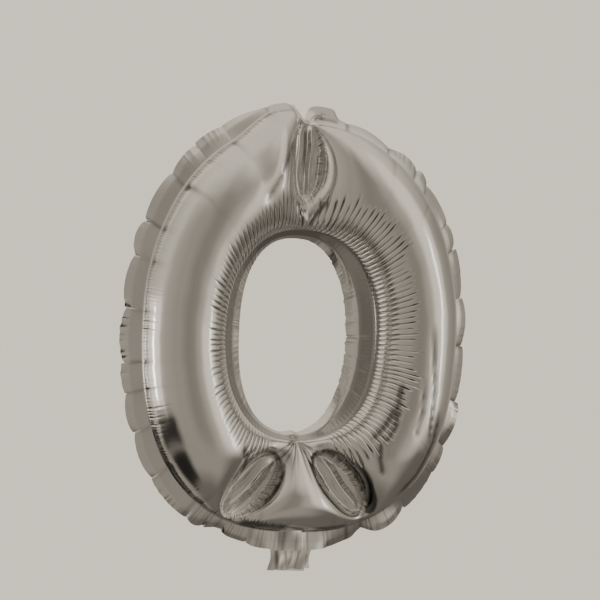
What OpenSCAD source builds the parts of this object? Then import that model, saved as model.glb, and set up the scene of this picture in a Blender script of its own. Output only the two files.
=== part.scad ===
// Inflated foil "0" balloon: two die-cut films sealed at the rim, round the hole and at three
// leaf-shaped weld islands, with a filling tail and a flat two-ply valve inside.
// It stands in the XZ plane and its front faces -Y. The origin is at the middle of the tail mouth.

/* [Seals] */
// Half width of the outer seal line
outer_half_w = 123; // [105:1:150]
// Half height of the outer seal line
outer_half_h = 147; // [125:1:180]
// Half width of the hole's seal line
hole_half_w = 61; // [51:1:73]
// Half height of the hole's seal line
hole_half_h = 76; // [64:1:91]
// How far the hole sits below the middle of the outline
hole_drop = 6; // [0:0.5:10]
// Squareness of the outline's upper half, 2 is an ellipse
square_top = 2.1; // [2:0.1:3]
// Squareness of the outline's lower half
square_bottom = 2.5; // [2:0.1:3]
// Squareness of the hole
square_hole = 2.3; // [2:0.1:3]

/* [Flanges] */
// In-plane width of the flange outside the outer seal
outer_flange_w = 14; // [11:0.5:17]
// How far the outer flange leans towards the back
flange_lean = 25; // [0:1:35]
// In-plane width of the hole's flange at the hole's sides
collar_side_w = 18.5; // [15:0.5:22]
// In-plane width of the hole's flange at the hole's two ends, where it stands up more
collar_end_w = 6; // [4:0.5:8]
// How far back the hole's free edge stands at the sides
collar_side_depth = 11; // [6:0.5:14]
// How far back the hole's free edge stands at the two ends
collar_end_depth = 14; // [8:0.5:17]

/* [Films] */
// Film thickness, thicker than the real film so that it is a sound solid
film_t = 0.3; // [0.25:0.05:0.5]

/* [Weld islands] */
// Length of a leaf-shaped weld island
leaf_l = 57; // [47:1:64]
// Width of a weld island
leaf_w = 24; // [20:0.5:28]
// How far a lower leaf leans from the X axis
leaf_angle = 48; // [42:1:58]
// Distance from the middle to a lower leaf's centre
leaf_side = 35.5; // [32:0.5:42]
// Height of the lower leaves' centres above the lowest point of the outer seal
leaf_lift = 32; // [28:0.5:36]
// How far the top leaf runs out past the outer seal
leaf_overrun = 2; // [0:0.5:4]
// Distance over which the film rises beside a weld island
leaf_rise = 9; // [6:0.5:12]

/* [Tail] */
// Width of the filling tail
tail_w = 33; // [28:0.5:40]
// Length of the tail below the outer flange
tail_l = 15; // [12.5:0.5:18]
// How far the tail folds to each side
fold_angle = 120; // [60:5:120]
// Space left at the fold beyond what the film's thickness needs
fold_clearance = 0.1; // [0.05:0.05:0.3]

/* [Valve] */
// Width of the valve
valve_w = 22; // [18:0.5:26]
// Height that the valve reaches above the fold line
valve_reach = 60; // [48:1:64]
// Thickness of one valve ply
ply_t = 0.1; // [0.05:0.05:0.2]
// Clearance at each edge of the valve, in the channel that the tail has for it
valve_clearance = 0.1; // [0.05:0.05:0.3]
// Least distance from the valve's upper end to the hole's seal
valve_end_gap = 8; // [4:0.5:10]

/* [Hidden] */
FRONT = -1;
BACK = 1;
ARC_STEPS = 12;
// Places of a flange's rows, as shares of its width, from just off the seal to the free edge
FLANGE_STEPS = [0.001, 0.5, 1];
// Share of the collar's width that is one with its film. The collar's own node begins there.
COLLAR_ROOT = 0.06;
// How far a cutting solid runs past the faces that it cuts
OVERCUT = 1;
fold_gap = (film_t + ply_t) * tan(fold_angle / 2) + fold_clearance;
rim_z = tail_l;
fold_z = rim_z - fold_gap;
ring_z = rim_z + outer_flange_w + outer_half_h;
// The valve ends below the hole's seal, however deep the hole is
valve_top_z = min(fold_z + valve_reach, ring_z - hole_drop - hole_half_h - valve_end_gap);
// The films part over this half width at the tail, to let the valve through
neck_half_w = valve_w / 2 + 1;
neck_blend = 5;
// The flange stands straight over this half width, where the tail leaves it
straight_half_w = tail_w / 2 + 2;
straight_blend = 30;

// Station angles round the ring: close together at the tail and the top, wider at the sides
half_stations = concat(
    [for (a = [-90 : 2 : -56]) a],
    [for (a = [-52 : 5 : 58]) a],
    [for (a = [62 : 3.5 : 87]) a]
);
stations = concat(half_stations, [90], [for (a = reverse(half_stations)) if (a > -90) 180 - a]);

// A weld island: centre in ring coordinates, and the angle of its long axis
top_leaf = [[0, outer_half_h - leaf_l / 2 + leaf_overrun], 90];
lower_leaf_z = -outer_half_h + leaf_lift;
leaves = [
    top_leaf,
    [[leaf_side, lower_leaf_z], -leaf_angle],
    [[-leaf_side, lower_leaf_z], leaf_angle]
];

function clamp01(v) = max(0, min(1, v));
function ease(v) = clamp01(v) * clamp01(v) * (3 - 2 * clamp01(v));

// Point of a superellipse with half sizes a and b and exponent n, on the ray at angle t
function oval(a, b, n, t) =
    let (k = pow(pow(abs(cos(t)) / a, n) + pow(abs(sin(t)) / b, n), -1 / n))
    [k * cos(t), k * sin(t)];
function outer_seal(t) =
    oval(outer_half_w, outer_half_h, sin(t) > 0 ? square_top : square_bottom, t);
function hole_seal(t) = oval(hole_half_w, hole_half_h, square_hole, t) - [0, hole_drop];
function hole_edge(t) =
    oval(hole_half_w - collar_side_w, hole_half_h - collar_end_w, square_hole, t)
    - [0, hole_drop];

// Distance from a point to a leaf's edge, zero inside the leaf
function leaf_gap(p, leaf) =
    let (
        d = p - leaf[0],
        along = d.x * cos(leaf[1]) + d.y * sin(leaf[1]),
        across = -d.x * sin(leaf[1]) + d.y * cos(leaf[1])
    )
    max(0, norm([along / (leaf_l / 2), across / (leaf_w / 2)]) - 1) * leaf_w / 2;
// How much of its free height the film keeps near the islands: none on them, all far away
function rise(p) = 1 - exp(-min([for (leaf = leaves) leaf_gap(p, leaf)]) / leaf_rise);

function at_tail(p) = p.y < -hole_half_h - hole_drop;
// How far each film stands off the middle plane at the tail, so that the valve passes
function neck(p) = at_tail(p) ? ply_t * ease((neck_half_w + neck_blend - abs(p.x)) / neck_blend) : 0;
// The flange's backward slope: none where the tail leaves it
function lean(p) =
    tan(flange_lean)
    * (at_tail(p) ? ease((abs(p.x) - straight_half_w) / straight_blend) : 1);

// One row of a film's cross-section at station t, from the hole's edge to the rim, as points
// [x, depth, z]. It is the film's air side, or its outer side where skin is film_t.
function film_row(t, side, skin) =
    let (
        a = hole_seal(t),
        b = outer_seal(t),
        mid = (a + b) / 2,
        r = norm(b - a) / 2,
        u = (b - a) / (2 * r),
        air_r = r - film_t
    )
    concat(
        [for (k = [COLLAR_ROOT, FLANGE_STEPS[0]]) collar_point(t, k, side, skin)],
        [
            for (i = [0 : ARC_STEPS])
                let (
                    th = 180 * i / ARC_STEPS,
                    p = mid - (air_r + skin) * cos(th) * u,
                    kept = rise(p),
                    h = air_r * sin(th) * kept + skin * (1 - kept * (1 - sin(th)))
                )
                [p.x, side * max(h, neck(p) + skin), p.y]
        ],
        [for (k = FLANGE_STEPS) flange_point(b, u, k * outer_flange_w, side, skin)]
    );
function flange_point(seal, u, w, side, skin) =
    let (p = seal + w * u)
    [p.x, w * lean(p) + side * (neck(p) + skin), p.y];
// Point of the collar at share k of the way from the seal to the hole's free edge
function collar_point(t, k, side, skin) =
    let (
        a = hole_seal(t),
        p = a + k * (hole_edge(t) - a),
        end = pow(sin(t), 2),
        depth = collar_side_depth + (collar_end_depth - collar_side_depth) * end
    )
    [p.x, k * depth + side * skin, p.y];
function collar_row(t, side, skin) =
    [for (k = [COLLAR_ROOT, 0.5, 1]) collar_point(t, k, side, skin)];
function reverse(list) = [for (i = [len(list) - 1 : -1 : 0]) list[i]];

// A closed skin swept round the ring through one row of points per station. Every skin cuts each
// four-sided patch along the same diagonal, so that sealed faces lie exactly together, and the
// left half mirrors the right.
module swept(rows, flip) {
    n = len(rows);
    m = len(rows[0]);
    faces = [
        for (i = [0 : n - 1], j = [0 : m - 1])
            let (
                i2 = (i + 1) % n,
                j2 = (j + 1) % m,
                q = [i * m + j, i2 * m + j, i2 * m + j2, i * m + j2]
            )
            each (j < m / 2) == (i < n / 2)
                ? [[q[0], q[1], q[2]], [q[0], q[2], q[3]]]
                : [[q[0], q[1], q[3]], [q[1], q[2], q[3]]]
    ];
    translate([0, 0, ring_z])
        polyhedron(
            points = [for (row = rows) each row],
            faces = flip ? [for (f = faces) reverse(f)] : faces,
            convexity = 8
        );
}

// A film from the hole's seal to the rim
module film(side) {
    rows = [
        for (t = stations)
            concat(film_row(t, side, film_t), reverse(film_row(t, side, 0)))
    ];
    swept(rows, side == FRONT);
}

// The film's flange round the hole, which stands back like a collar
module collar(side) {
    rows = [
        for (t = stations)
            concat(collar_row(t, side, film_t), reverse(collar_row(t, side, 0)))
    ];
    swept(rows, side == BACK);
}

// A film of the tail: a flat strip with a shallow channel for the valve in its inner face
module tail_film(side) {
    y0 = side == FRONT ? -film_t - ply_t : 0;
    channel_w = valve_w + 2 * valve_clearance;
    channel_l = tail_l + 2 * OVERCUT;
    difference() {
        translate([-tail_w / 2, y0, 0]) cube([tail_w, film_t + ply_t, fold_z - fold_gap]);
        translate([-channel_w / 2, -ply_t, -OVERCUT]) cube([channel_w, 2 * ply_t, channel_l]);
    }
}

// One ply of the valve between two heights
module ply(side, z0, z1) {
    translate([-valve_w / 2, side == FRONT ? -ply_t : 0, z0]) cube([valve_w, ply_t, z1 - z0]);
}

module front_panel() { color("silver") film(FRONT); }
module back_panel() { color("silver") film(BACK); }
module front_collar() { color("silver") collar(FRONT); }
module back_collar() { color("silver") collar(BACK); }
module front_tail() { color("silver") tail_film(FRONT); }
module back_tail() { color("silver") tail_film(BACK); }
module valve_front_ply() { color("white") ply(FRONT, fold_z + fold_gap, valve_top_z); }
module valve_back_ply() { color("white") ply(BACK, fold_z + fold_gap, valve_top_z); }
module valve_front_mouth() { color("white") ply(FRONT, 0, fold_z - fold_gap); }
module valve_back_mouth() { color("white") ply(BACK, 0, fold_z - fold_gap); }

front_panel();
back_panel();
front_collar();
back_collar();
front_tail();
back_tail();
valve_front_ply();
valve_back_ply();
valve_front_mouth();
valve_back_mouth();
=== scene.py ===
"""Inflated foil numeral balloon: two sealed metallised films and the flat valve between them.

Each film is one surface swept round the ring. A column is one place round the hole, a row is one
place across the film, from the hole's free edge, over the filled tube, to the outer free edge.
"""

import math

import bpy
import numpy as np
from mathutils import Matrix, Vector


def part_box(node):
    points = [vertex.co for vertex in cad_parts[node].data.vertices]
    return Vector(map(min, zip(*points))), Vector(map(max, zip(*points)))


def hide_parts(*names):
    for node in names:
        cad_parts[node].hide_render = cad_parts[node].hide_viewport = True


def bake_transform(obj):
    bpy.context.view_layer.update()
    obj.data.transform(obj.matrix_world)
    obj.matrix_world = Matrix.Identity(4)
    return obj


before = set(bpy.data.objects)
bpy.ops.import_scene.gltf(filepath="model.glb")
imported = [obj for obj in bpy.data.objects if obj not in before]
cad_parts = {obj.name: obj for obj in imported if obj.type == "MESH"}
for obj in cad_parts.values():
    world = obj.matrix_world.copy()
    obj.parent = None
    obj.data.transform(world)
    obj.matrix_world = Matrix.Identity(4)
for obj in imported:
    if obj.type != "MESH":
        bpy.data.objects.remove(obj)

bl_info = {
    "name": "Foil Numeral Balloon",
    "version": (1, 0, 0),
    "blender": (4, 5, 0),
    "location": "View3D > Sidebar > Balloon",
    "description": "Builds the films, the valve and the studio of an inflated foil balloon",
    "category": "Object",
}

FRONT, BACK = -1.0, 1.0
PANEL_LO, PANEL_HI = (np.array(v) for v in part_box("back_panel"))
TAIL_LO, TAIL_HI = (np.array(v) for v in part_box("front_tail"))
VALVE_LO, VALVE_HI = (np.array(v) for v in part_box("valve_front_ply"))
RIM_Z = float(PANEL_LO[2])
RING_Z = float(PANEL_LO[2] + PANEL_HI[2]) / 2
# Points lower than this, measured from the ring's middle, belong to the numeral's foot
FOOT = -0.10
# Exponents of the superellipses: 2 is an ellipse, more is squarer
HOLE_POWER, TOP_POWER, FOOT_POWER = 2.3, 2.1, 2.5
# Half of the distance between the two films where they are sealed
LIFT = 0.00016
# Rows across a film: collar, filled tube, outer flange and tail
HOLE_ROWS, TUBE_ROWS, RIM_ROWS, TAIL_ROWS = 9, 64, 10, 12
# Share of the collar's width that is sealed
BAND_SHARE = 0.62
# Depth at which a fold's painted shade is as dark as it gets
DARK_FOLD = 0.0007
# How far the tail's end stands to the left of its root
TAIL_SHIFT = 0.0016
# Seeds of the random draws
RING_SEED, COLLAR_SEED, RIM_SEED, CREASE_SEED = 7, 21, 22, 23
TUBE_SEEDS = {FRONT: 40, BACK: 41}


# ---------------------------------------------------------------- sizes that a user may change


def length(name, description, default):
    """A length property in metres."""
    return bpy.props.FloatProperty(
        name=name, description=description, default=default, unit="LENGTH")


def angle(name, description, degrees):
    """An angle property, given in degrees."""
    return bpy.props.FloatProperty(
        name=name, description=description, default=math.radians(degrees), subtype="ANGLE")


def colour(name, description, *default):
    """A colour property, given as red, green, blue and alpha."""
    return bpy.props.FloatVectorProperty(
        name=name, description=description, default=default, subtype="COLOR", size=4, min=0, max=1)


class FilmSizes(bpy.types.PropertyGroup):
    """Sizes of the two films."""

    outer_flange: length("Outer Flange", "In-plane width of the outer flange", 0.014)
    collar_side: length("Collar Side", "In-plane width of the collar at the hole's sides", 0.0185)
    collar_end: length("Collar End", "In-plane width of the collar at the hole's ends", 0.006)
    side_depth: length("Side Depth", "How far back the collar's edge stands at its sides", 0.011)
    end_depth: length("End Depth", "How far back the collar's edge stands at its ends", 0.014)
    seal_band: length("Seal Band", "In-plane width of the sealed band in the outer flange", 0.0088)
    hole_half_w: length("Hole Half Width", "Half width of the hole's seal line", 0.061)
    hole_half_h: length("Hole Half Height", "Half height of the hole's seal line", 0.076)
    hole_drop: length("Hole Drop", "How far the hole sits below the middle", 0.006)
    band_lean: angle("Band Lean", "Backward lean of the outer sealed band", 23)
    trim_lean: angle("Trim Lean", "Backward lean of the trimmed edge outside the band", 32)
    pleats: bpy.props.IntProperty(
        name="Pleats", description="Number of pleats round the hole", default=140)
    pleat_depth: length("Pleat Depth", "Depth of a pleat's slit", 0.0007)
    pucker_depth: length("Pucker Depth", "Depth of the puckers along the outer seal", 0.0004)
    leaf_length: length("Island Length", "Length of a weld island", 0.057)
    leaf_width: length("Island Width", "Width of a weld island", 0.024)
    leaf_side: length("Island Offset", "Distance of a lower island from the middle", 0.0355)
    leaf_lift: length("Island Lift", "Height of the lower islands above the outer seal", 0.032)
    leaf_angle: angle("Island Lean", "Angle of a lower island's long axis", 48)


class LookColours(bpy.types.PropertyGroup):
    """Colours of the films and of the studio."""

    foil: colour("Foil", "Colour of the metallised film", 0.80, 0.795, 0.785, 1)
    valve: colour("Valve", "Colour of the clear valve film", 0.86, 0.87, 0.88, 1)
    backdrop: colour("Backdrop", "Colour of the studio backdrop", 1.0, 0.91, 0.755, 1)


# ---------------------------------------------------------------- the ring's plan


def ease(x):
    """Smooth step: 3x^2 - 2x^3 between 0 and 1, held flat outside."""
    x = np.clip(x, 0.0, 1.0)
    return x * x * (3.0 - 2.0 * x)


def slit(x, width):
    """Narrow valley round x = 0: exp(-(x / width)^2)."""
    return np.exp(-((x / width) ** 2))


def pair(left, right, x, width):
    """Two narrow valleys: one as deep as left round x = 0, one as deep as right round x = 1."""
    return left * slit(x, width) + right * slit(1 - x, width)


def span(x, low, rise, high, fall):
    """1 from low to high: it rises over a length after low and falls over another before high."""
    return ease((x - low) / rise) * ease((high - x) / fall)


def oval(turn, half_w, half_h, power):
    """Superellipse point on the ray at an angle: its distance k makes
    |k cos / half_w|^power + |k sin / half_h|^power equal to 1."""
    k = np.abs(np.cos(turn) / half_w) ** power + np.abs(np.sin(turn) / half_h) ** power
    k = k ** (-1.0 / power)
    return np.stack((k * np.cos(turn), k * np.sin(turn)), axis=-1)


def hole_seal(turn, s):
    """Seal line round the hole, in ring coordinates (x, height above the ring's middle)."""
    return oval(turn, s.hole_half_w, s.hole_half_h, HOLE_POWER) - np.array((0.0, s.hole_drop))


def hole_edge(turn, s):
    """Free edge of the collar round the hole, nearer to the seal at the hole's two ends."""
    half = (s.hole_half_w - s.collar_side, s.hole_half_h - s.collar_end)
    return oval(turn, *half, HOLE_POWER) - np.array((0.0, s.hole_drop))


def outer_seal(turn, s):
    """Outer seal line: the panel's box less its flange, squarer in its lower half. The top
    island's tip pulls a shallow notch into it, and the tube swells up to the left of it."""
    half = (PANEL_HI - PANEL_LO) / 2
    power = np.where(np.sin(turn) > 0, TOP_POWER, FOOT_POWER)
    line = oval(turn, half[0] - s.outer_flange, half[2] - s.outer_flange, power)
    top = (line[..., 1] > 0) * slit(line[..., 0], 0.005)
    rise = 0.0105 * top_hump(line) - 0.002 * top
    return line + rise[..., None] * np.array((0.0, 1.0))


def top_hump(p):
    """Share of the swelling at the top, just left of the notch."""
    return (p[..., 1] > 0) * span(p[..., 0], -0.060, 0.034, -0.001, 0.014)


def islands(s):
    """The weld islands: centre, direction of the long axis, half length and half width. The top
    one is narrower than the others, and the lower right one is smaller and a little higher."""
    top_z = (PANEL_HI - PANEL_LO)[2] / 2 - s.outer_flange
    low_z = -top_z + s.leaf_lift
    half = (s.leaf_length / 2, s.leaf_width / 2)
    return (
        ((0.0, top_z - half[0] + 0.002), math.pi / 2, half[0], 0.86 * half[1]),
        ((s.leaf_side - 0.001, low_z + 0.003), -s.leaf_angle, 0.92 * half[0], 0.84 * half[1]),
        ((-s.leaf_side, low_z), s.leaf_angle) + half,
    )


def island_frame(p, island):
    """Position of points p in an island's own axes, scaled so that its edge is at radius 1."""
    centre, turn, half_l, half_w = island
    d = p - np.array(centre)
    along = (d[..., 0] * math.cos(turn) + d[..., 1] * math.sin(turn)) / half_l
    across = (-d[..., 0] * math.sin(turn) + d[..., 1] * math.cos(turn)) / half_w
    return along, across


def island_gap(p, island):
    """Rough distance from points p to an island's edge, zero inside it."""
    along, across = island_frame(p, island)
    return np.maximum(np.hypot(along, across) - 1.0, 0.0) * island[3]


def free_height(p, s):
    """Share of its free height that the film keeps near the islands. Each island multiplies it
    by (1 - exp(-gap / reach))^power. The lower two are left as steeply as a filled tube leaves
    its seal, the top one more gently."""
    kept = np.ones(p.shape[:-1])
    for island, reach, power in zip(islands(s), (0.020, 0.016, 0.016), (0.68, 0.5, 0.5)):
        kept = kept * (1.0 - np.exp(-island_gap(p, island) / reach)) ** power
    return kept


# ---------------------------------------------------------------- columns and rows


class Ring:
    """The columns: where each stands round the ring, in which pleat, and in which scallop."""

    PER_PLEAT = 8

    def __init__(self, s, seed):
        """Pleats of uneven width are laid along the hole's seal from the top. Each holds
        PER_PLEAT columns, which crowd towards its two slits. Scallops are runs of 2 to 6 pleats
        along the outer edge."""
        rng = np.random.default_rng(seed)
        fine = np.linspace(-1.5 * math.pi, 0.5 * math.pi, 6001)
        line = hole_seal(fine, s)
        arc = np.concatenate(([0.0], np.cumsum(np.hypot(*np.diff(line, axis=0).T))))
        width = rng.uniform(0.82, 1.2, s.pleats)
        starts = np.concatenate(([0.0], np.cumsum(width))) / width.sum() * arc[-1]
        t = np.arange(self.PER_PLEAT) / self.PER_PLEAT
        share = t - 0.09 * np.sin(2 * math.pi * t)
        place = starts[:-1, None] + np.diff(starts)[:, None] * share
        self.pleat = np.repeat(np.arange(s.pleats), self.PER_PLEAT)
        self.share = np.tile(share, s.pleats)
        self.turn = np.interp(place.ravel(), arc, fine)
        self.count = self.turn.size
        runs = rng.integers(2, 7, s.pleats)
        ends = np.unique(np.minimum(np.cumsum(runs), s.pleats))
        ends = np.concatenate(([0], ends[ends < s.pleats - 1], [s.pleats]))
        self.scallop = np.searchsorted(ends, self.pleat, side="right") - 1
        width = np.diff(ends)[self.scallop]
        self.in_scallop = (self.pleat + self.share - ends[self.scallop]) / width
        self.scallops = ends.size - 1
        self.a = hole_seal(self.turn, s)
        self.b = outer_seal(self.turn, s)
        gap = self.b - self.a
        self.r = np.hypot(gap[:, 0], gap[:, 1]) / 2
        self.u = gap / (2 * self.r[:, None])
        self.mid = (self.a + self.b) / 2


def tube_angles():
    """Angles over the tube, 0 at the hole's seal and pi at the outer one, closer near both."""
    t = np.linspace(0.0, 1.0, TUBE_ROWS)
    return math.pi * (t - 0.055 * np.sin(2 * math.pi * t))


def at_tail(p, start, reach):
    """1 away from the tail, falling to 0 where it leaves the rim, within start of the middle."""
    return np.where(p[..., 1] < FOOT, ease((np.abs(p[..., 0]) - start) / reach), 1.0)


def wrinkle_field(p, rng, count, size, height):
    """Soft irregular swell: a sum of plane sine waves with random directions and phases."""
    total = np.zeros(p.shape[:-1])
    for _ in range(count):
        k = rng.normal(size=p.shape[-1])
        k *= 2 * math.pi / (size * rng.uniform(0.7, 1.5) * np.linalg.norm(k))
        total += np.sin(p @ k + rng.uniform(0, 2 * math.pi))
    return total * height / math.sqrt(count)


def fold_line(p, path, width):
    """Sharp valley along a path of points: exp(-distance / width), tapering at the two ends."""
    best = np.zeros(p.shape[:-1])
    path = np.array(path)
    total = len(path) - 1
    for i in range(total):
        a, d = path[i], path[i + 1] - path[i]
        t = np.clip(((p - a) @ d) / (d @ d), 0, 1)
        away = np.hypot(*np.moveaxis(p - a - t[..., None] * d, -1, 0))
        run = (i + t) / total
        best = np.maximum(best, np.exp(-away / width) * ease(5 * run) * ease(5 * (1 - run)))
    return best


def pleat_room(p, s):
    """Where pleats may lie: not in the fan at the hole's foot, nor under the top island, nor on
    an island."""
    fan = np.hypot(p[..., 0], p[..., 1] + s.hole_half_h + s.hole_drop) / 0.024
    room = ease((fan - 0.9) / 0.35)
    under = (p[..., 1] > 0) * slit(p[..., 0], 0.007)
    room = room * (1 - 0.85 * under)
    for island in islands(s):
        room = room * ease(island_gap(p, island) / 0.005)
    return room


def pleat_depths(ring, theta, s, rng):
    """Depth of the pleats over the tube, as columns by rows. Each slit starts at the seal, is
    shallow halfway and ends in a small dimple; the ridges between two slits swell a little.
    Slits near the numeral's two ends are longer and deeper."""
    n = s.pleats
    turn = np.interp((np.arange(n) + 0.5) * ring.PER_PLEAT, np.arange(ring.count), ring.turn)
    tight = np.abs(np.sin(turn)) ** 3
    right = ease(0.5 + 2 * np.cos(turn))
    end = np.radians(62 + 4 * right + rng.normal(0, 4, n) + 2 * tight * right)
    depth = s.pleat_depth * rng.uniform(0.55, 1.1, n) * (1 + 0.6 * tight)
    faint = rng.uniform(0.3, 0.95, n) * right
    dimple = rng.uniform(0.2, 1.6, n) * (0.3 + 0.7 * right)

    def run(k):
        """Depth along the slit k of each column, over the rows."""
        k = k % n
        e = end[k][:, None]
        t = theta[None, :]
        wall = ease(t / 0.2) * ease((e - t) / (0.55 - 0.3 * right[k][:, None]) + 0.5)
        mid = 1 - faint[k][:, None] * slit(t - 0.7 * e, 0.2)
        tip = dimple[k][:, None] * slit(t - e, 0.065)
        swell = depth[k][:, None] * ease(t / 0.25) * ease((e - t) / 0.5 + 0.3)
        return depth[k][:, None] * (wall * mid + 0.9 * tip), swell

    f = ring.share[:, None]
    (here, up), (there, down) = run(ring.pleat), run(ring.pleat + 1)
    return pair(here, there, f, 0.12) - 0.20 * (up + down) * np.sin(math.pi * f)


def dying(depth, reach, off, i):
    """Depth of crease i of each column at a distance off the seal: depth exp(-off / reach)."""
    i = i % depth.size
    return depth[i][:, None] * np.exp(-off / reach[i][:, None])


def pucker_depths(ring, theta, s, rng):
    """Depth of the short puckers along the outer seal, two to a pleat, dying away from it, and
    of one long crease at each scallop's end."""
    n = 2 * s.pleats
    depth = s.pucker_depth * rng.uniform(0.1, 1.2, n)
    reach = rng.uniform(0.003, 0.008, n)
    k = (2 * ring.pleat + (ring.share >= 0.5)).astype(int)
    f = ((2 * ring.share) % 1.0)[:, None]
    off = (math.pi - theta)[None, :] * ring.r[:, None]
    short = pair(dying(depth, reach, off, k), dying(depth, reach, off, k + 1), f, 0.2)
    m = ring.scallops
    depth = rng.uniform(0.0003, 0.0012, m)
    reach = rng.uniform(0.005, 0.014, m)
    k = ring.scallop
    q = ring.in_scallop[:, None]
    return short + pair(dying(depth, reach, off, k), dying(depth, reach, off, k + 1), q, 0.08)


def fan_depth(p, s):
    """Creases that fan out from the foot of the hole, each a sharp valley at its own angle."""
    foot = np.array((0.0, -s.hole_half_h - s.hole_drop + 0.002))
    d = foot - p
    far = np.hypot(d[..., 0], d[..., 1])
    turn = np.degrees(np.arctan2(-d[..., 0], np.maximum(d[..., 1], 1e-6)))
    total = np.zeros(p.shape[:-1])
    for at, wide, deep, reach in (
        (-58, 4, 1.2, 0.016), (-43, 3, 1.5, 0.022), (-31, 3, 1.0, 0.020), (-17, 2.5, 1.3, 0.022),
        (-8, 2, 0.7, 0.018), (13, 3, 1.0, 0.026), (27, 3.5, 1.6, 0.024), (39, 3, 1.2, 0.020),
        (54, 4, 1.4, 0.018),
    ):
        total += deep * np.exp(-np.abs(turn - at) / wide) * np.exp(-((far / reach) ** 2))
    return 0.0011 * total * ease(far / 0.006) * (d[..., 1] > 0)


def long_folds(p, side):
    """The few long creases that break the smooth tube. Those of the back film are turned to the
    other side."""
    q = p * np.array((-side, 1.0))
    folds = (
        (((0.073, -0.034), (0.069, -0.053), (0.060, -0.068), (0.047, -0.083)), 0.0022, 0.0012),
        (((0.070, -0.055), (0.066, -0.070), (0.058, -0.083)), 0.0020, 0.0010),
        (((0.056, -0.079), (0.056, -0.094), (0.060, -0.106)), 0.0012, 0.0014),
        (((-0.012, 0.092), (-0.007, 0.083), (-0.002, 0.071)), 0.0016, 0.0010),
        (((0.013, 0.093), (0.007, 0.083), (0.001, 0.071)), 0.0018, 0.0010),
        (((-0.018, 0.139), (-0.030, 0.112), (-0.046, 0.085)), 0.0008, 0.0035),
        (((-0.052, -0.086), (-0.047, -0.097), (-0.050, -0.108)), 0.0016, 0.0012),
        (((0.093, 0.010), (0.096, -0.040), (0.094, -0.085)), 0.0010, 0.0014),
        (((0.103, -0.055), (0.099, -0.080), (0.088, -0.105), (0.073, -0.122)), 0.0010, 0.0012),
        (((0.088, -0.030), (0.086, -0.058), (0.080, -0.080)), 0.0007, 0.0010),
    )
    return sum(deep * fold_line(q, path, width) for path, deep, width in folds)


def island_relief(p, s):
    """Waves of the flat islands, shared by both films: a few broad facets along each island's
    axis with finer ones on them, flattening towards its edge."""
    total = np.zeros(p.shape[:-1])
    for k, island in enumerate(islands(s)):
        along, across = island_frame(p, island)
        inside = ease((1.02 - np.hypot(along, across)) / 0.3)
        bend = across + 0.10 * along + 0.05 * np.sin(5 * along + k)
        facet = np.abs((bend * (1.1, 0.8, 0.75)[k] + 0.45) % 1.0 - 0.5) * 2
        fine = np.abs((bend * 3.3 + 0.12 * np.sin(4 * along)) % 1.0 - 0.5) * 2
        total += inside * (0.0030 * (facet - 0.5) + 0.0006 * (fine - 0.5))
    return total


def island_folds(p, s):
    """Depth of the crimps that run round each island's edge and die away from it."""
    total = np.zeros(p.shape[:-1])
    for k, island in enumerate(islands(s)):
        along, across = island_frame(p, island)
        gap = island_gap(p, island)
        turn = np.arctan2(across, along)
        beads = np.abs(np.sin(19 * turn + 1.3 * np.sin(3 * turn + k)))
        total += 0.0005 * (1 - beads) * np.exp(-gap / 0.0018) * ease(gap / 0.0006)
    return total


def seam_shadow(p, off, side):
    """How dark the painted shade on the gathered strip above the outer seal is, 0 to 1, at a
    distance
    off from the seal: two ragged runs at the numeral's foot."""
    x = -side * p[..., 0]
    ragged = np.abs(((x / 0.0024) + 0.2 * np.sin(x / 0.003)) % 1.0 - 0.5)
    total = np.zeros(p.shape[:-1])
    for low, high, wide in ((-0.046, -0.007, 0.0064), (0.012, 0.042, 0.0044)):
        run = span(x, low, 0.006, high, 0.005)
        total = np.maximum(total, run * ease((wide * (0.6 + 0.8 * ragged) - off) / 0.0012))
    return total * (p[..., 1] < FOOT)


def rim_shadow(ring, share, rng):
    """How dark the painted shade in the flange's creases is, 0 to 1: one at each scallop's end,
    closer ones at the foot, and the painted shadow in the slit under the folded flap beside the
    notch."""
    m = ring.scallops
    deep = rng.uniform(0.0, 0.7, m + 1)
    ends = pair(deep[ring.scallop], deep[ring.scallop + 1], ring.in_scallop, 0.05)
    foot = ease((-ring.b[:, 1] - 0.120) / 0.012)
    close = (0.5 + 0.5 * np.sin(ring.turn * 260 + 5 * np.sin(ring.turn * 37))) ** 5
    close = close * (0.5 + 0.5 * np.sin(ring.turn * 53)) ** 0.5
    slot = (ring.b[:, 1] > 0) * span(ring.b[:, 0], 0.005, 0.003, 0.027, 0.004)
    flap = slot[:, None] * np.maximum(0.95 * slit(share - 0.34, 0.10), 0.45 * ease(share / 0.5))
    creases = np.maximum(ends, 0.65 * foot * close)[:, None] * ease(share / 0.1)
    return np.maximum(creases, flap)


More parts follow.
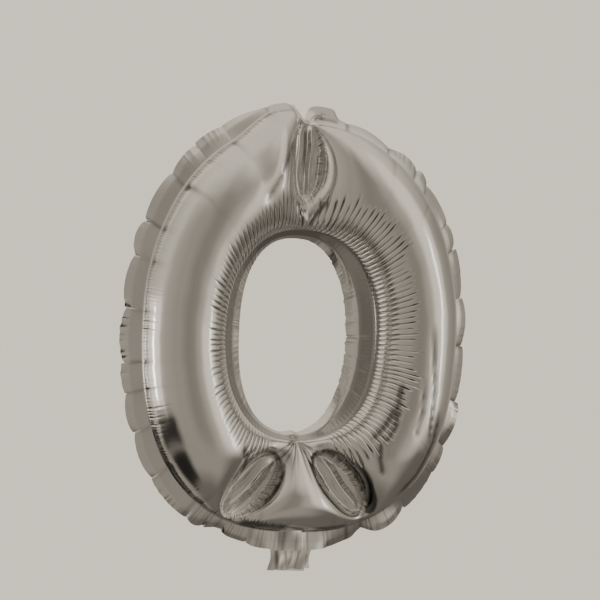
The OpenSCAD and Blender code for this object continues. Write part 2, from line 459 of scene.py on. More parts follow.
def island_shadow(p, s, side):
    """How dark the painted shade in the deep folds beside the lower islands is, 0 to 1: a wide
    crescent round the outer side of one, and thin slits beside the other. The top island has one
    crease darkened by painted shade, and the film gathered below it is darkened by painted shade
    too."""
    q = p * np.array((-side, 1.0))
    total = np.zeros(p.shape[:-1])
    top, right, left = islands(s)
    for island, start, wide, low, high in (
        (right, 1.05, 0.62, 0.02, 0.98), (left, 1.02, 0.17, 0.10, 0.95),
        (left, 1.10, 0.22, -0.62, -0.05), (right, 1.06, 0.16, -0.95, -0.45),
    ):
        along, across = island_frame(q, island)
        far = np.hypot(along, across)
        turn = np.arctan2(across, along) / math.pi
        share = np.clip((turn - low) / (high - low), 0, 1)
        thick = wide * np.sin(math.pi * share ** 0.75)
        ragged = 0.03 * np.sin(60 * turn) + 0.02 * np.sin(97 * turn)
        band = ease((far - start + ragged) / 0.10) * ease((start + thick - far) / 0.10)
        total = np.maximum(total, band * (share > 0) * (share < 1))
    along, across = island_frame(p, top)
    crease = slit(across - 0.12, 0.10) * span(along, -0.45, 0.2, 0.85, 0.2)
    neck = slit(p[..., 0], 0.007) * slit(p[..., 1] - top[0][1] + top[2] + 0.008, 0.009)
    return np.maximum(total, np.maximum(0.75 * crease, 0.45 * neck))


# ---------------------------------------------------------------- a film


def collar_rows(ring, s, rng):
    """Rows of the collar round the hole, from its seal to its free edge, as (columns, rows, 3)
    middle-plane points. The sealed band stands back a little, the trimmed edge much more. The
    pleats run on faintly into the band, and the edge is crumpled at the hole's foot."""
    share = np.linspace(0.0, 1.0, HOLE_ROWS + 1)[None, 1:]
    a = ring.a
    e = hole_edge(ring.turn, s)
    end = np.sin(ring.turn)[:, None] ** 2
    rough = rng.normal(size=s.pleats)[ring.pleat] * np.sin(math.pi * ring.share)
    foot = (slit(a[:, 0], 0.009) * (a[:, 1] < 0))[:, None]
    stretch = 0.012 * rough[:, None] + foot * 0.22 * np.sin(ring.turn * 23)[:, None]
    plan = a[:, None, :] + (share * (1 + stretch * share))[..., None] * (e - a)[:, None, :]
    knee = 0.50 - 0.20 * np.cos(ring.turn)[:, None]
    profile = np.where(share < BAND_SHARE, knee * share / BAND_SHARE,
                       knee + (1 - knee) * (share - BAND_SHARE) / (1 - BAND_SHARE))
    depth = (s.side_depth + (s.end_depth - s.side_depth) * end) * profile
    depth = depth + 0.0005 * rough[:, None] * share ** 2
    depth = depth - foot * 0.003 * share * (1 + np.sin(ring.turn * 31)[:, None])
    ripple = 0.00022 * pair(1, 1, ring.share, 0.2)[:, None]
    depth = depth + ripple * slit((share - 0.22) / 0.22, 1.0) * ease(share / 0.1)
    return np.stack((plan[..., 0], depth, plan[..., 1]), axis=-1)


def rim_rows(ring, s, rng):
    """Rows of the outer flange, from its seal to its free edge, as (columns, rows, 3)
    middle-plane points. Its edge is cut into scallops by the tube's pull: each waves and tilts
    on its own. The top island's tip draws a notch into it, with a folded flap to the right. It
    is narrower on each side of the notch and of the tail, and crumpled at the left middle."""
    width = s.outer_flange
    w = np.linspace(0.0, 1.0, RIM_ROWS + 1)[None, 1:] * width
    trim = np.maximum(w - s.seal_band, 0)
    lean = (w - trim) * math.tan(s.band_lean) + trim * math.tan(s.trim_lean)
    share = w / width
    m = ring.scallops
    q = ring.in_scallop
    wave = np.sin(math.pi * q)
    notch = rng.uniform(0.08, 0.30, m)[ring.scallop] * (1 - wave ** 0.5)
    step = rng.normal(0, 0.05, m)[ring.scallop] * (q - 0.5)
    swing = 0.0016 * rng.normal(size=m)[ring.scallop] * wave
    tilt = 0.0022 * rng.normal(size=m)[ring.scallop] * (q - 0.5)
    facets = np.abs((ring.pleat + ring.share) * 0.9 % 1.0 - 0.5) * 2 - 0.5
    crisp = 0.0011 * rng.normal(size=s.pleats)[ring.pleat] * facets
    crumpled = (ring.b[:, 0] < 0) * slit(ring.b[:, 1] + 0.012, 0.022)
    crisp = crisp * (rng.uniform(0, 1, m)[ring.scallop] ** 2 + 2.2 * crumpled)
    plan = ring.b[:, None, :] + ring.u[:, None, :] * w[..., None]
    free = at_tail(plan, 0.0185, 0.030)
    x = ring.b[:, 0]
    top = (ring.b[:, 1] > 0).astype(float)
    cut = top * (0.75 * slit(x, 0.0055) + 0.40 * span(x, 0.022, 0.006, 0.085, 0.02))
    cut = np.maximum(cut, 0.74 * top_hump(ring.b))
    beside = 0.3 * slit(np.abs(x) - 0.055, 0.006) + 0.22 * slit(np.abs(x) - 0.042, 0.018)
    beside = beside * (ring.b[:, 1] < FOOT)
    shrink = 1 - free * ((notch + step + beside)[:, None] * share) - cut[:, None] * share
    plan = ring.b[:, None, :] + ring.u[:, None, :] * (w * shrink)[..., None]
    depth = free * (lean + share ** 1.2 * (swing + tilt)[:, None] + share ** 3 * crisp[:, None])
    hidden = top * span(-x, 0.003, 0.006, 0.034, 0.012)
    flap = top * slit(x - 0.009, 0.005)
    depth = depth + share * (0.007 * hidden[:, None])
    depth = depth + 0.006 * flap[:, None] * np.sin(share * 2.6 * math.pi) * share
    return np.stack((plan[..., 0], depth, plan[..., 1]), axis=-1)


def tube_surface(ring, side, s, seed):
    """The filled part of a film, the islands' relief and the painted shade of its folds, from 0 to
    1:
    darker in deep pleats, puckers and creases, beside the islands and along the seam. The film is
    half a circle from seal to seal in each column's own upright plane, pressed down near the
    islands, then pushed in along its normal by pleats, puckers and creases. The seal lines stay
    put."""
    rng = np.random.default_rng(seed)
    theta = tube_angles()
    c, sn = np.cos(theta)[None, :, None], np.sin(theta)[None, :]
    plan = ring.mid[:, None, :] - ring.r[:, None, None] * c * ring.u[:, None, :]
    height = ring.r[:, None] * sn * free_height(plan, s)
    flat = -c * ring.u[:, None, :] * np.ones_like(height)[..., None]
    normal = np.stack((flat[..., 0], side * sn * np.ones_like(height), flat[..., 1]), axis=-1)
    points = np.stack((plan[..., 0], side * height, plan[..., 1]), axis=-1)
    held = ease(np.minimum(theta, math.pi - theta) / 0.12)[None, :]
    folds = pleat_depths(ring, theta, s, rng) * pleat_room(plan, s)
    folds = folds + pucker_depths(ring, theta, s, rng)
    folds = folds + island_folds(plan, s) + fan_depth(plan, s) + long_folds(plan, side)
    swell = wrinkle_field(points, rng, 14, 0.055, 0.00025)
    swell = swell + wrinkle_field(points, rng, 18, 0.018, 0.00005)
    depth = np.minimum((folds + swell) * held, np.maximum(height, 0) * 0.8)
    points = points - normal * depth[..., None]
    off = ring.r[:, None] * (1 + np.cos(theta))[None, :]
    tight = np.abs(np.sin(ring.turn[:, None])) ** 3
    weight = 0.45 + 0.55 * np.maximum(ease((theta[None, :] - 0.5) / 0.4), tight)
    # Painted shade: the fold depth becomes a darkening of the foil colour, joined by the painted
    # shade beside the islands and along the seam
    painted_fold_shade = np.clip(weight * folds / DARK_FOLD, 0, 1) * held
    painted_fold_shade = np.maximum(painted_fold_shade, 1.15 * island_shadow(plan, s, side))
    return points, island_relief(plan, s), np.maximum(painted_fold_shade, seam_shadow(plan, off, side))


def neck_bulge(x, z, s):
    """Half gap between the films where air pushes into the neck: a soft ridge as wide as the
    valve that fades from the outer seal down to the tail."""
    half = (VALVE_HI[0] - VALVE_LO[0]) / 2
    across = np.clip(1 - (x / half) ** 2, 0, 1) ** 1.5
    drop = ease((z - RIM_Z + 0.004) / (s.outer_flange + 0.004))
    return 0.0026 * across * drop


def tail_curl(x, drop):
    """How far the tail stands out of its plane at a share of its drop: waves across it, a
    corner that turns back and one dent."""
    far = x / float(TAIL_HI[0])
    curl = 0.0011 * np.sin(x / 0.0046 + 2.4 * drop) * drop ** 0.7
    return curl + 0.0012 * np.abs(far) ** 4 * drop ** 2 - 0.0010 * slit(far + 0.55, 0.16) * drop


def tail_shade(x, drop):
    """How dark the painted shade in the tail's upright creases is, 0 to 1, each at its own place,
    lean and width.
    """
    total = np.zeros(np.broadcast(x, drop).shape)
    for at, lean, wide, deep in (
        (-0.0115, 0.0006, 0.0017, 0.95), (-0.0045, 0.0020, 0.0006, 0.7),
        (0.0010, -0.0026, 0.0010, 0.9), (0.0072, -0.0040, 0.0008, 0.8), (0.0125, 0.0, 0.0005, 0.6),
    ):
        total = np.maximum(total, deep * slit(x - at - lean * drop, wide) * ease(1.4 - drop))
    return total


def film_grid(side, s):
    """One film's ring columns, its points as (columns, rows, 3), the columns that run on into the
    tail, the tail's points as (tail columns, rows, 3), and the painted shade of the points of each,
    in their folds and creases. The tail hangs from the flange's edge, narrows a little and ends in
    an uneven cut."""
    ring = Ring(s, RING_SEED)
    hole = collar_rows(ring, s, np.random.default_rng(COLLAR_SEED))[:, ::-1]
    rim = rim_rows(ring, s, np.random.default_rng(RIM_SEED))
    hole[..., 1] += side * LIFT
    rim[..., 1] += side * (LIFT + neck_bulge(rim[..., 0], rim[..., 2] + RING_Z, s))
    tube, relief, painted_fold_shade = tube_surface(ring, side, s, TUBE_SEEDS[side])
    mouth = neck_bulge(tube[..., 0], tube[..., 2] + RING_Z, s) * (tube[..., 2] < 0)
    tube[..., 1] = relief + side * np.maximum(side * tube[..., 1], mouth + LIFT)
    grid = np.concatenate((hole, tube, rim), axis=1)
    grid[..., 2] += RING_Z
    share = np.linspace(0, 1, RIM_ROWS + 1)[None, 1:]
    # Painted shade in the flange's creases and in the slit under the flap
    rim_painted_shade = rim_shadow(ring, share, np.random.default_rng(CREASE_SEED))
    painted_fold_shade = np.concatenate((np.zeros(hole.shape[:2]), painted_fold_shade, rim_painted_shade), axis=1)
    half = (TAIL_HI[0] - TAIL_LO[0]) / 2
    edge = grid[:, -1]
    columns = np.nonzero((np.abs(edge[:, 0]) <= half) & (edge[:, 2] < RIM_Z + 0.01))[0]
    top = edge[columns]
    t = np.linspace(0, 1, TAIL_ROWS + 1)[1:]
    far = top[:, None, 0] / half
    x = top[:, None, 0] * (1 - 0.07 * np.sin(math.pi * np.minimum(t * 1.2, 1)) * far ** 2)
    x = x - TAIL_SHIFT * t
    slant = 0.0012 * far - 0.0006 * far ** 2 + 0.0004 * np.sin(9 * far)
    z = top[:, None, 2] * (1 - t) + np.maximum(slant + 0.0012, 0) * t
    gap = side * (LIFT + 0.0012 * slit(far + 0.05, 0.3) * (1 - 0.6 * t))
    y = top[:, None, 1] * (1 - ease(t * 1.6)) + ease(t * 1.6) * gap + tail_curl(x, t)
    tail = np.stack((x, y, z), axis=-1)
    return ring, grid, columns, tail, painted_fold_shade, tail_shade(x, np.clip(1 - (z / RIM_Z), 0, 1))


def film_faces(n, m, columns, side):
    """Quads of the closed ring grid and of the tail that hangs from its last row."""
    i = np.arange(n)[:, None]
    j = np.arange(m - 1)[None, :]
    i2 = (i + 1) % n
    ring = np.stack((i * m + j, i2 * m + j, i2 * m + j + 1, i * m + j + 1), axis=-1)
    first = n * m
    tops = columns * m + m - 1
    below = first + np.arange(columns.size * TAIL_ROWS).reshape(columns.size, TAIL_ROWS)
    strip = np.concatenate((tops[:, None], below), axis=1)
    a, b = strip[:-1], strip[1:]
    tail = np.stack((a[:, :-1], b[:, :-1], b[:, 1:], a[:, 1:]), axis=-1)
    faces = np.concatenate((ring.reshape(-1, 4), tail.reshape(-1, 4)))
    return faces if side == BACK else faces[:, ::-1]


def make_mesh(name, points, faces):
    """A smooth-shaded mesh object from point and quad arrays, put in with foreach_set."""
    mesh = bpy.data.meshes.new(name)
    mesh.vertices.add(len(points))
    mesh.vertices.foreach_set("co", np.asarray(points, np.float32).ravel())
    mesh.loops.add(faces.size)
    mesh.loops.foreach_set("vertex_index", faces.astype(np.int32).ravel())
    mesh.polygons.add(len(faces))
    mesh.polygons.foreach_set("loop_start", np.arange(0, faces.size, 4, dtype=np.int32))
    mesh.polygons.foreach_set("loop_total", np.full(len(faces), 4, np.int32))
    mesh.update(calc_edges=True)
    mesh.validate()
    mesh.shade_smooth()
    piece = bpy.data.objects.new(name, mesh)
    bpy.context.scene.collection.objects.link(piece)
    return piece


def point_value(piece, name, values):
    """Stores one number per point for the materials to read."""
    attribute = piece.data.attributes.new(name, "FLOAT", "POINT")
    attribute.data.foreach_set("value", np.asarray(values, np.float32).ravel())


def corners(piece):
    """The point that each face corner stands on."""
    index = np.empty(len(piece.data.loops), np.int32)
    piece.data.loops.foreach_get("vertex_index", index)
    return index


def add_uv(piece, name, uv):
    """A UV map from one pair of numbers for each face corner."""
    layer = piece.data.uv_layers.new(name=name)
    layer.data.foreach_set("uv", uv.astype(np.float32).ravel())


def ring_uv(piece, ring, m, columns, across):
    """UV map along the ring and across it. The faces that close the ring run on to the full
    turn, and across, -1 to 2.2, is brought into the unit square."""
    index = corners(piece)
    along = ring.pleat + ring.share
    along = np.concatenate((np.repeat(along, m), np.repeat(along[columns], TAIL_ROWS)))
    u = along[index].reshape(-1, 4)
    pleats = ring.pleat[-1] + 1
    wraps = (u.max(axis=1) - u.min(axis=1) > 10)[:, None]
    u = np.where(wraps & (u < 10), u + pleats, u) / pleats
    add_uv(piece, "Ring", np.stack((u.ravel(), across[index] / 3.5 + 0.3), axis=-1))


def film_uv(piece, ring, points, columns):
    """UV map in the film's flat cut: every row stands at its own distance along the film."""
    n = ring.count
    m = HOLE_ROWS + TUBE_ROWS + RIM_ROWS
    grid = points[: n * m].reshape(n, m, 3)
    step = np.linalg.norm(np.diff(grid, axis=1), axis=-1)
    run = np.concatenate((np.zeros((n, 1)), np.cumsum(step, axis=1)), axis=1)
    start = grid[:, 0][:, [0, 2]]
    flat = start[:, None, :] + ring.u[:, None, :] * run[..., None]
    tail = points[n * m:].reshape(columns.size, TAIL_ROWS, 3)
    under = flat[columns, -1][:, None, :] - np.array((0, 1)) * (
        points[(columns * m + m - 1)][:, None, 2:3] - tail[..., 2:3]
    )
    flat = np.concatenate((flat.reshape(-1, 2), under.reshape(-1, 2)))
    flat = (flat - flat.min(axis=0)) / (flat.max(axis=0) - flat.min(axis=0)).max()
    add_uv(piece, "Flat Cut", flat[corners(piece)])


def seam_distance(ring, rest):
    """Millimetres from the outer seal to each point of the filled tube, in the ring's plane, plus
    a share of the tube's height on the numeral's left, but never under half the way along the
    film. It is -1 on the collar, flange and tail."""
    theta = tube_angles()[None, :]
    left = 0.42 * np.clip(-np.cos(ring.turn), 0, 1)[:, None]
    arc = ring.r[:, None] * (math.pi - theta)
    off = np.maximum(ring.r[:, None] * (1 + np.cos(theta) + left * np.sin(theta)), 0.5 * arc) * 1000
    grid = -np.ones((ring.count, HOLE_ROWS + TUBE_ROWS + RIM_ROWS))
    grid[:, HOLE_ROWS:-RIM_ROWS] = off
    return np.concatenate((grid.ravel(), -np.ones(rest)))


def build_film(name, side, nodes, material):
    """One film with its half of the tail. It bends from the balloon to the tail at the fold. Its
    value across is -1 at the hole's edge, 0 and 1 at the seals, 2 at the outer edge and 2.2 on
    the tail."""
    s = bpy.context.scene.film_sizes
    ring, grid, columns, tail, painted_fold_shade, tail_painted_shade = film_grid(side, s)
    n, m = grid.shape[:2]
    points = np.concatenate((grid.reshape(-1, 3), tail.reshape(-1, 3)))
    piece = make_mesh(name, points, film_faces(n, m, columns, side))
    across = np.zeros((n, m))
    across[:, :HOLE_ROWS] = -np.arange(HOLE_ROWS, 0, -1) / HOLE_ROWS
    across[:, HOLE_ROWS:-RIM_ROWS] = tube_angles()[None, :] / math.pi
    across[:, -RIM_ROWS:] = 1 + np.arange(1, RIM_ROWS + 1) / RIM_ROWS
    across = np.concatenate((across.ravel(), np.full(tail.size // 3, 2.2)))
    point_value(piece, "across", across)
    point_value(piece, "seam", seam_distance(ring, tail.size // 3))
    ring_uv(piece, ring, m, columns, across)
    # Painted shade of the folds and creases, which darkens the foil colour
    point_value(piece, "painted_fold_shade", np.concatenate((painted_fold_shade.ravel(), tail_painted_shade.ravel())))
    plan = points[:, [0, 2]] - np.array((0.0, RING_Z))
    near = np.stack([np.hypot(*island_frame(plan, i)) for i in islands(s)])
    which = near.argmin(axis=0)
    turn = np.stack([np.arctan2(*island_frame(plan, i)[::-1]) for i in islands(s)])
    point_value(piece, "island", np.take_along_axis(near, which[None], 0)[0])
    point_value(piece, "turn", np.take_along_axis(turn, which[None], 0)[0])
    film_uv(piece, ring, points, columns)
    piece.data.materials.append(material)
    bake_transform(piece)
    for node in nodes:
        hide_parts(node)
    return piece


# ---------------------------------------------------------------- the valve


def build_valve_ply(name, side, nodes, material):
    """One ply of the valve: a flat strip up from the mouth, whose upper end stands a little
    away from the other ply, with a soft wave across it."""
    columns, rows = 25, 61
    x = np.linspace(VALVE_LO[0], VALVE_HI[0], columns)[:, None]
    z = np.linspace(0.0, VALVE_HI[2], rows)[None, :]
    above = ease((z - RIM_Z) / (VALVE_HI[2] - RIM_Z))
    apart = 0.0009 * above * (1 - (x / VALVE_HI[0]) ** 2)
    wave = 0.0008 * above * np.sin(x / 0.004 + z / 0.011)
    y = side * (0.00005 + apart) + wave + tail_curl(x, np.clip(1 - z / RIM_Z, 0, 1))
    y = y * np.ones((columns, rows))
    points = np.stack((x * np.ones_like(y), y, z * np.ones_like(y)), axis=-1)
    i, j = np.meshgrid(np.arange(columns - 1), np.arange(rows - 1), indexing="ij")
    k = i * rows + j
    faces = np.stack((k, k + rows, k + rows + 1, k + 1), axis=-1).reshape(-1, 4)
    faces = faces if side == FRONT else faces[:, ::-1]
    piece = make_mesh(name, points.reshape(-1, 3), faces)
    piece.data.materials.append(material)
    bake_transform(piece)
    for node in nodes:
        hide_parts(node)
    return piece


# ---------------------------------------------------------------- materials


def add_node(tree, kind, values=None, **settings):
    """A node of the kind, with its settings and its unlinked inputs set by name or number."""
    node = tree.nodes.new(kind)
    for key, value in settings.items():
        setattr(node, key, value)
    for key, value in (values or {}).items():
        node.inputs[key].default_value = value
    return node


def maths(operation, *values, clamp=False):
    """One maths node of the values, which are numbers or signals, in the signals' tree."""
    tree = next(value.socket for value in values if isinstance(value, Signal)).id_data
    node = add_node(tree, "ShaderNodeMath", operation=operation, use_clamp=clamp)
    for slot, value in zip(node.inputs, values):
        if isinstance(value, Signal):
            tree.links.new(value.socket, slot)
        else:
            slot.default_value = value
    return Signal(node.outputs[0])


class Signal:
    """A node's output as a value in formulas. Each operator adds one maths node to its tree."""

    def __init__(self, socket):
        self.socket = socket

    def __add__(self, other):
        return maths("ADD", self, other)

    def __sub__(self, other):
        return maths("SUBTRACT", self, other)

    def __rsub__(self, other):
        return maths("SUBTRACT", other, self)

    def __mul__(self, other):
        return maths("MULTIPLY", self, other)

    def __abs__(self):
        return maths("ABSOLUTE", self)


def part(value, whole):
    """Share of the whole that the value is, held between 0 and 1."""
    return maths("DIVIDE", value, whole, clamp=True)


def ramp_up(value, low, high):
    """Straight rise from 0 at low to 1 at high, held flat outside."""
    return part(value - low, high - low)


def noise(tree, vector, **values):
    """Noise at the coordinates that a socket gives, about 0.5 on average."""
    node = add_node(tree, "ShaderNodeTexNoise", values)
    tree.links.new(vector, node.inputs["Vector"])
    return Signal(node.outputs["Fac"])


def crimps(run, mask):
    """Narrow valleys at the whole numbers of run, each with its own strength, under a mask:
    (1 - 3.2 |run - whole|) strength mask."""
    tree = run.socket.id_data
    whole = maths("ROUND", run)
    own = add_node(tree, "ShaderNodeTexWhiteNoise", noise_dimensions="1D")
    tree.links.new(whole.socket, own.inputs["W"])
    valley = maths("SUBTRACT", 1.0, abs(run - whole) * 3.2, clamp=True)
    return valley * Signal(own.outputs["Value"]) * mask


def film_group():
    """Node group: the film's small relief as Height, and its painted shade as Shade, the share of
    the foil colour that each spot keeps. It has soft dents, fine creases near the seals, and rows
    of short crimps along the outer seal and round the islands. Painted shade darkens the crimps,
    the sealed bands, the islands and the folds. Band is 1 in sealed bands."""
    group = bpy.data.node_groups.new("Film Surface", "ShaderNodeTree")
    for name in ("Height", "Shade", "Band"):
        group.interface.new_socket(name, in_out="OUTPUT", socket_type="NodeSocketFloat")
    end = add_node(group, "NodeGroupOutput")
    link = group.links.new
    place = add_node(group, "ShaderNodeTexCoord").outputs["Object"]
    ring = add_node(group, "ShaderNodeUVMap", uv_map="Ring")
    split = add_node(group, "ShaderNodeSeparateXYZ")
    link(ring.outputs["UV"], split.inputs[0])
    along = Signal(split.outputs["X"]) * float(bpy.context.scene.film_sizes.pleats)
    across, painted_fold_shade, island, turn, seam = (
        Signal(add_node(group, "ShaderNodeAttribute", attribute_name=name).outputs["Fac"])
        for name in ("across", "painted_fold_shade", "island", "turn", "seam")
    )
    in_tube = ramp_up(across, 0.0, 0.01) * ramp_up(across, 1.01, 1.0)

    dents = noise(group, place, Scale=60, Detail=3, Roughness=0.5)
    strip = add_node(group, "ShaderNodeCombineXYZ")
    link((along * 2.3).socket, strip.inputs[0])
    link((across * 4.0).socket, strip.inputs[1])
    fine = noise(group, strip.outputs[0], Scale=1.0, Detail=4, Roughness=0.6)
    near_rim = ramp_up(across, 0.90, 1.0) * ramp_up(across, 1.3, 1.0)
    creases = abs(fine - 0.5) * maths("MAXIMUM", ramp_up(across, 0.32, 0.0), near_rim)

    some = ramp_up(noise(group, place, Scale=22.0, Detail=2), 0.38, 0.50)
    zip_mask = ramp_up(seam, 5.6, 3.8) * ramp_up(seam, -0.2, 0.4) * some
    island_edge = ramp_up(island, 0.86, 1.0) * ramp_up(island, 1.16, 1.05)
    beads = crimps(turn * 11.0, island_edge) * in_tube
    # The crimps are relief in Height and painted shade in Shade
    crimp = maths("MAXIMUM", crimps(along * 3.0, zip_mask), beads)
    link((dents * 0.45 + creases - crimp * 1.5).socket, end.inputs["Height"])

    hole_band = ramp_up(across, -BAND_SHARE - 0.02, -BAND_SHARE + 0.02)
    hole_band = hole_band * ramp_up(across, 0.015, 0.0)
    rim_band = ramp_up(across, 0.995, 1.005) * ramp_up(across, 1.66, 1.60)
    flat_leaf = ramp_up(island, 1.0, 0.96) * in_tube
    # Painted shade: the foil colour is darkened in the sealed bands, on the islands, in the folds
    # and in the crimps
    shade = 1.0 - hole_band * 0.46
    for mask, loss in ((rim_band, 0.10), (flat_leaf, 0.08), (painted_fold_shade, 0.72), (crimp, 0.75)):
        shade = shade * (1.0 - mask * loss)
    link(shade.socket, end.inputs["Shade"])
    link(maths("MAXIMUM", hole_band, rim_band).socket, end.inputs["Band"])
    return group


def foil_material(name, film):
    """Metallised film: a bright metal whose gloss varies a little, rougher in sealed bands, with
    its colour darkened by the painted shade of the film group.
    """
    material = bpy.data.materials.new(name)
    material.use_nodes = True
    tree = material.node_tree
    tree.nodes.clear()
    out = add_node(tree, "ShaderNodeOutputMaterial")
    shader = add_node(tree, "ShaderNodeBsdfPrincipled", {"Metallic": 1.0})
    surface = add_node(tree, "ShaderNodeGroup", node_tree=film)
    bump = add_node(tree, "ShaderNodeBump", {"Strength": 0.5, "Distance": 0.00025})
    place = add_node(tree, "ShaderNodeTexCoord")
    haze = noise(tree, place.outputs["Object"], Scale=26.0, Detail=5)
    gloss = add_node(tree, "ShaderNodeMapRange",
                     {"From Min": 0.3, "From Max": 0.7, "To Min": 0.12, "To Max": 0.20})
    colour = tuple(bpy.context.scene.look_colours.foil)
    # Foil colour times the painted shade
    foil_times_painted_shade = add_node(tree, "ShaderNodeMix", {"Factor": 1.0, 6: colour},
                    data_type="RGBA", blend_type="MULTIPLY")
    link = tree.links.new
    link(haze.socket, gloss.inputs["Value"])
    rough = Signal(surface.outputs["Band"]) * 0.08 + Signal(gloss.outputs["Result"])
    link(rough.socket, shader.inputs["Roughness"])
    link(surface.outputs["Shade"], foil_times_painted_shade.inputs[7])
    link(foil_times_painted_shade.outputs[2], shader.inputs["Base Color"])
    link(surface.outputs["Height"], bump.inputs["Height"])
    link(bump.outputs["Normal"], shader.inputs["Normal"])
    link(shader.outputs["BSDF"], out.inputs["Surface"])
    return material


def valve_material():
    """Clear, slightly milky film."""
    material = bpy.data.materials.new("Clear Valve Film")
    material.use_nodes = True
    tree = material.node_tree
    shader = tree.nodes["Principled BSDF"]
    shader.inputs["Base Color"].default_value = tuple(bpy.context.scene.look_colours.valve)
    shader.inputs["Roughness"].default_value = 0.22
    shader.inputs["Alpha"].default_value = 0.55
    place = add_node(tree, "ShaderNodeTexCoord")
    grain = noise(tree, place.outputs["Object"], Scale=160.0, Detail=3)
    bump = add_node(tree, "ShaderNodeBump", {"Strength": 0.3, "Distance": 0.0002})
    tree.links.new(grain.socket, bump.inputs["Height"])
    tree.links.new(bump.outputs["Normal"], shader.inputs["Normal"])
    return material


# ---------------------------------------------------------------- the studio


def look_at(obj, target, roll=0.0):
    """Turns a camera or light at its place towards the target, then rolls it about its view."""
    away = obj.location - Vector(target)
    turn = away.to_track_quat("Z", "Y").to_matrix().to_4x4()
    obj.matrix_world = Matrix.Translation(obj.location) @ turn @ Matrix.Rotation(roll, 4, "Z")


def polar(azimuth, elevation, distance, centre):
    """Point at an azimuth and elevation in degrees; azimuth 0 is in front, 90 to the right."""
    a, e = math.radians(azimuth), math.radians(elevation)
    return (
        centre[0] + distance * math.sin(a) * math.cos(e),
        centre[1] - distance * math.cos(a) * math.cos(e),
        centre[2] + distance * math.sin(e),
    )


def soft_box(name, azimuth, elevation, distance, size, power, centre):
    """A rectangular studio light that faces the balloon."""
    lamp = bpy.data.lights.new(name, "AREA")
    lamp.shape = "RECTANGLE"
    lamp.size, lamp.size_y = size
    lamp.energy = power
    obj = bpy.data.objects.new(name, lamp)
    bpy.context.scene.collection.objects.link(obj)
    obj.location = polar(azimuth, elevation, distance, centre)
    look_at(obj, centre)
    obj.visible_camera = False
    return obj


def cyclorama(material):
    """Round studio: a flat floor, a quarter-circle fillet, an upright wall and a flat-topped
    dome, turned all the way round the balloon."""
    floor_z, floor_r, fillet, wall = -0.55, 5.2, 1.8, 2.5
    t = np.linspace(0, math.pi / 2, 13)
    outer = floor_r + fillet
    r = np.concatenate(([0.001], np.linspace(1, floor_r, 4), floor_r + fillet * np.sin(t[1:]),
                        outer * np.cos(t[:-1]), [0.001]))
    z = np.concatenate((np.full(5, floor_z), floor_z + fillet * (1 - np.cos(t[1:])),
                        wall + outer * np.sin(t[:-1]), [wall + outer]))
    n = 96
    turn = np.linspace(0, 2 * math.pi, n, endpoint=False)[:, None]
    points = np.stack((r * np.cos(turn), r * np.sin(turn), z * np.ones_like(turn)), axis=-1)
    m = r.size
    i, j = np.meshgrid(np.arange(n), np.arange(m - 1), indexing="ij")
    i2 = (i + 1) % n
    faces = np.stack((i * m + j, i * m + j + 1, i2 * m + j + 1, i2 * m + j), axis=-1)
    piece = make_mesh("studio_dome", points.reshape(-1, 3), faces.reshape(-1, 4))
    piece.data.materials.append(material)
    return piece


def window(value, low, high, soft):
    """1 between low and high, falling straight to 0 over soft on each side."""
    return part(value - (low - soft), soft) * part((high + soft) - value, soft)


def toward(level, target, share):
    """Moves the level towards a target by a share: level + (target - level) share."""
    return level + (target - level) * share


def studio_group():
    """Node group: how bright the room is in each direction from the balloon, from its azimuth
    and its height in degrees. The zones run round at eye level: pale behind, grey in front, and
    a pale bank at the front right. It is paler overhead and darker near the ground, with a
    bright panel at the left and two dark corners below it."""
    group = bpy.data.node_groups.new("Room Brightness", "ShaderNodeTree")
    group.interface.new_socket("Level", in_out="OUTPUT", socket_type="NodeSocketFloat")
    end = add_node(group, "NodeGroupOutput")
    link = group.links.new
    place = add_node(group, "ShaderNodeTexCoord")
    split = add_node(group, "ShaderNodeSeparateXYZ")
    link(place.outputs["Object"], split.inputs[0])
    x, y, z = (Signal(split.outputs[k]) for k in "XYZ")
    azimuth = maths("DEGREES", maths("ARCTAN2", x, y * -1.0))
    height = maths("DEGREES", maths("ARCTAN2", z - RING_Z, maths("SQRT", x * x + y * y)))
    scale = add_node(group, "ShaderNodeMapRange", {"From Min": -180.0, "From Max": 180.0})
    link(azimuth.socket, scale.inputs["Value"])
    ramp = add_node(group, "ShaderNodeValToRGB")
    link(scale.outputs["Result"], ramp.inputs["Fac"])
    zones = (
        (-180, 0.90), (-145, 0.90), (-130, 0.55), (-92, 0.70), (-82, 0.58), (-72, 0.45),
        (-58, 0.40), (-43, 0.35), (-32, 0.36), (-9, 0.25), (8, 0.27), (20, 0.42), (32, 0.52),
        (44, 0.78), (60, 0.88), (70, 0.70), (80, 0.38), (100, 0.30), (120, 0.28), (142, 0.52),
        (180, 0.90),
    )
    band = ramp.color_ramp
    while len(band.elements) < len(zones):
        band.elements.new(0.5)
    for element, (at, level) in zip(band.elements, zones):
        element.position = (at + 180) / 360
        element.color = (level, level, level, 1)

    level = Signal(ramp.outputs["Color"])
    sky_start = ramp_up(azimuth, -15.0, 10.0) * -18.0 + 34.0
    level = toward(level, 0.82, part(height - sky_start, 32.0))
    right = ramp_up(azimuth, 25.0, 60.0)
    ground_start = right * 9.0 - 14.0
    level = toward(level, right * -0.20 + 0.34, part(ground_start - height, 16.0))
    level = toward(level, 0.16, part(-52.0 - height, 20.0))
    bank = window(azimuth, 40, 64, 12) * window(height, 0, 48, 12)
    level = toward(level, 1.0, bank)
    panel = window(azimuth, -125, -87, 5) * window(height, -22, 3, 4)
    level = toward(level, 1.2, panel)
    for low, high in ((-34, -25), (-64, -43)):
        corner = window(azimuth, -118, -70, 14) * window(height, low, high, 6)
        level = toward(level, 0.02, corner)
    link(level.socket, end.inputs["Level"])
    return group


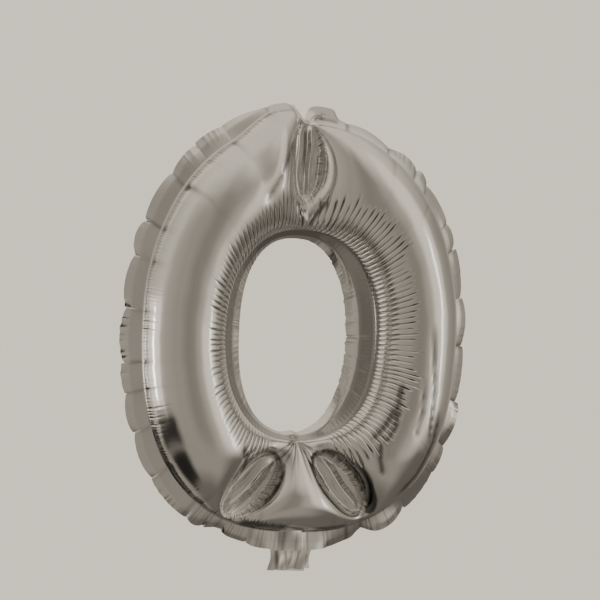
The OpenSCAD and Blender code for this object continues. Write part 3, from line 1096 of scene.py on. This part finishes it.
def dome_material():
    """Pale backdrop that glows evenly where the camera looks at it; in reflections it glows as the
    room's light, with its brightness set for each direction by the room group.
    """
    material = bpy.data.materials.new("Glowing Studio Room")
    material.use_nodes = True
    tree = material.node_tree
    tree.nodes.clear()
    link = tree.links.new
    out = add_node(tree, "ShaderNodeOutputMaterial")
    pale = tuple(bpy.context.scene.look_colours.backdrop)
    seen = add_node(tree, "ShaderNodeEmission", {"Color": pale, "Strength": 1.0})
    warm = tuple(c / pale[0] for c in pale[:3]) + (1.0,)
    # The room's glow, seen only in reflections
    room = add_node(tree, "ShaderNodeEmission", {"Color": warm})
    level = add_node(tree, "ShaderNodeGroup", node_tree=studio_group())
    path = add_node(tree, "ShaderNodeLightPath")
    mix = add_node(tree, "ShaderNodeMixShader")
    link(level.outputs["Level"], room.inputs["Strength"])
    link(path.outputs["Is Camera Ray"], mix.inputs["Fac"])
    link(room.outputs[0], mix.inputs[1])
    link(seen.outputs[0], mix.inputs[2])
    link(mix.outputs[0], out.inputs["Surface"])
    return material


class BALLOON_OT_stage(bpy.types.Operator):
    """Make the studio dome, the soft lights and the camera"""

    bl_idname = "balloon.stage"
    bl_label = "Studio"

    def execute(self, context):
        centre = (0.0, 0.0, RING_Z)
        cyclorama(dome_material())
        soft_box("left_strip", -104, -9, 1.7, (0.10, 0.55), 1.1, centre)
        soft_box("right_strip", 58, 2, 1.9, (0.14, 0.6), 0.5, centre)
        data = bpy.data.cameras.new("Camera")
        data.lens, data.sensor_width = 374, 36
        camera = bpy.data.objects.new("Camera", data)
        context.scene.collection.objects.link(camera)
        azimuth, elevation, distance, roll = -25, 0, 4.5, 2.2
        target = (-0.0002, 0.0, RING_Z + 0.0196)
        camera.location = polar(azimuth, elevation, distance, target)
        look_at(camera, target, math.radians(roll))
        context.scene.camera = camera
        return {"FINISHED"}


class BALLOON_OT_films(bpy.types.Operator):
    """Make the front and back films"""

    bl_idname = "balloon.films"
    bl_label = "Films"

    def execute(self, context):
        foil = foil_material("Silver Foil", film_group())
        build_film("front_film", FRONT, ("front_panel", "front_collar", "front_tail"), foil)
        build_film("back_film", BACK, ("back_panel", "back_collar", "back_tail"), foil)
        return {"FINISHED"}


class BALLOON_OT_valve(bpy.types.Operator):
    """Make the two plies of the valve"""

    bl_idname = "balloon.valve"
    bl_label = "Valve"

    def execute(self, context):
        clear = valve_material()
        build_valve_ply("front_ply", FRONT, ("valve_front_ply", "valve_front_mouth"), clear)
        build_valve_ply("back_ply", BACK, ("valve_back_ply", "valve_back_mouth"), clear)
        return {"FINISHED"}


class BALLOON_PT_panel(bpy.types.Panel):
    """Lists the steps that build the balloon"""

    bl_label = "Balloon"
    bl_space_type = "VIEW_3D"
    bl_region_type = "UI"
    bl_category = "Balloon"

    def draw(self, context):
        for step in (BALLOON_OT_stage, BALLOON_OT_films, BALLOON_OT_valve):
            self.layout.operator(step.bl_idname)


CLASSES = (
    FilmSizes, LookColours, BALLOON_OT_stage, BALLOON_OT_films, BALLOON_OT_valve,
    BALLOON_PT_panel,
)


def register():
    for c in CLASSES:
        bpy.utils.register_class(c)
    bpy.types.Scene.film_sizes = bpy.props.PointerProperty(type=FilmSizes)
    bpy.types.Scene.look_colours = bpy.props.PointerProperty(type=LookColours)


def unregister():
    del bpy.types.Scene.look_colours
    del bpy.types.Scene.film_sizes
    for c in reversed(CLASSES):
        bpy.utils.unregister_class(c)


def main():
    register()
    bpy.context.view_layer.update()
    bpy.ops.balloon.stage()
    bpy.ops.balloon.films()
    bpy.ops.balloon.valve()


if __name__ == "__main__":
    main()
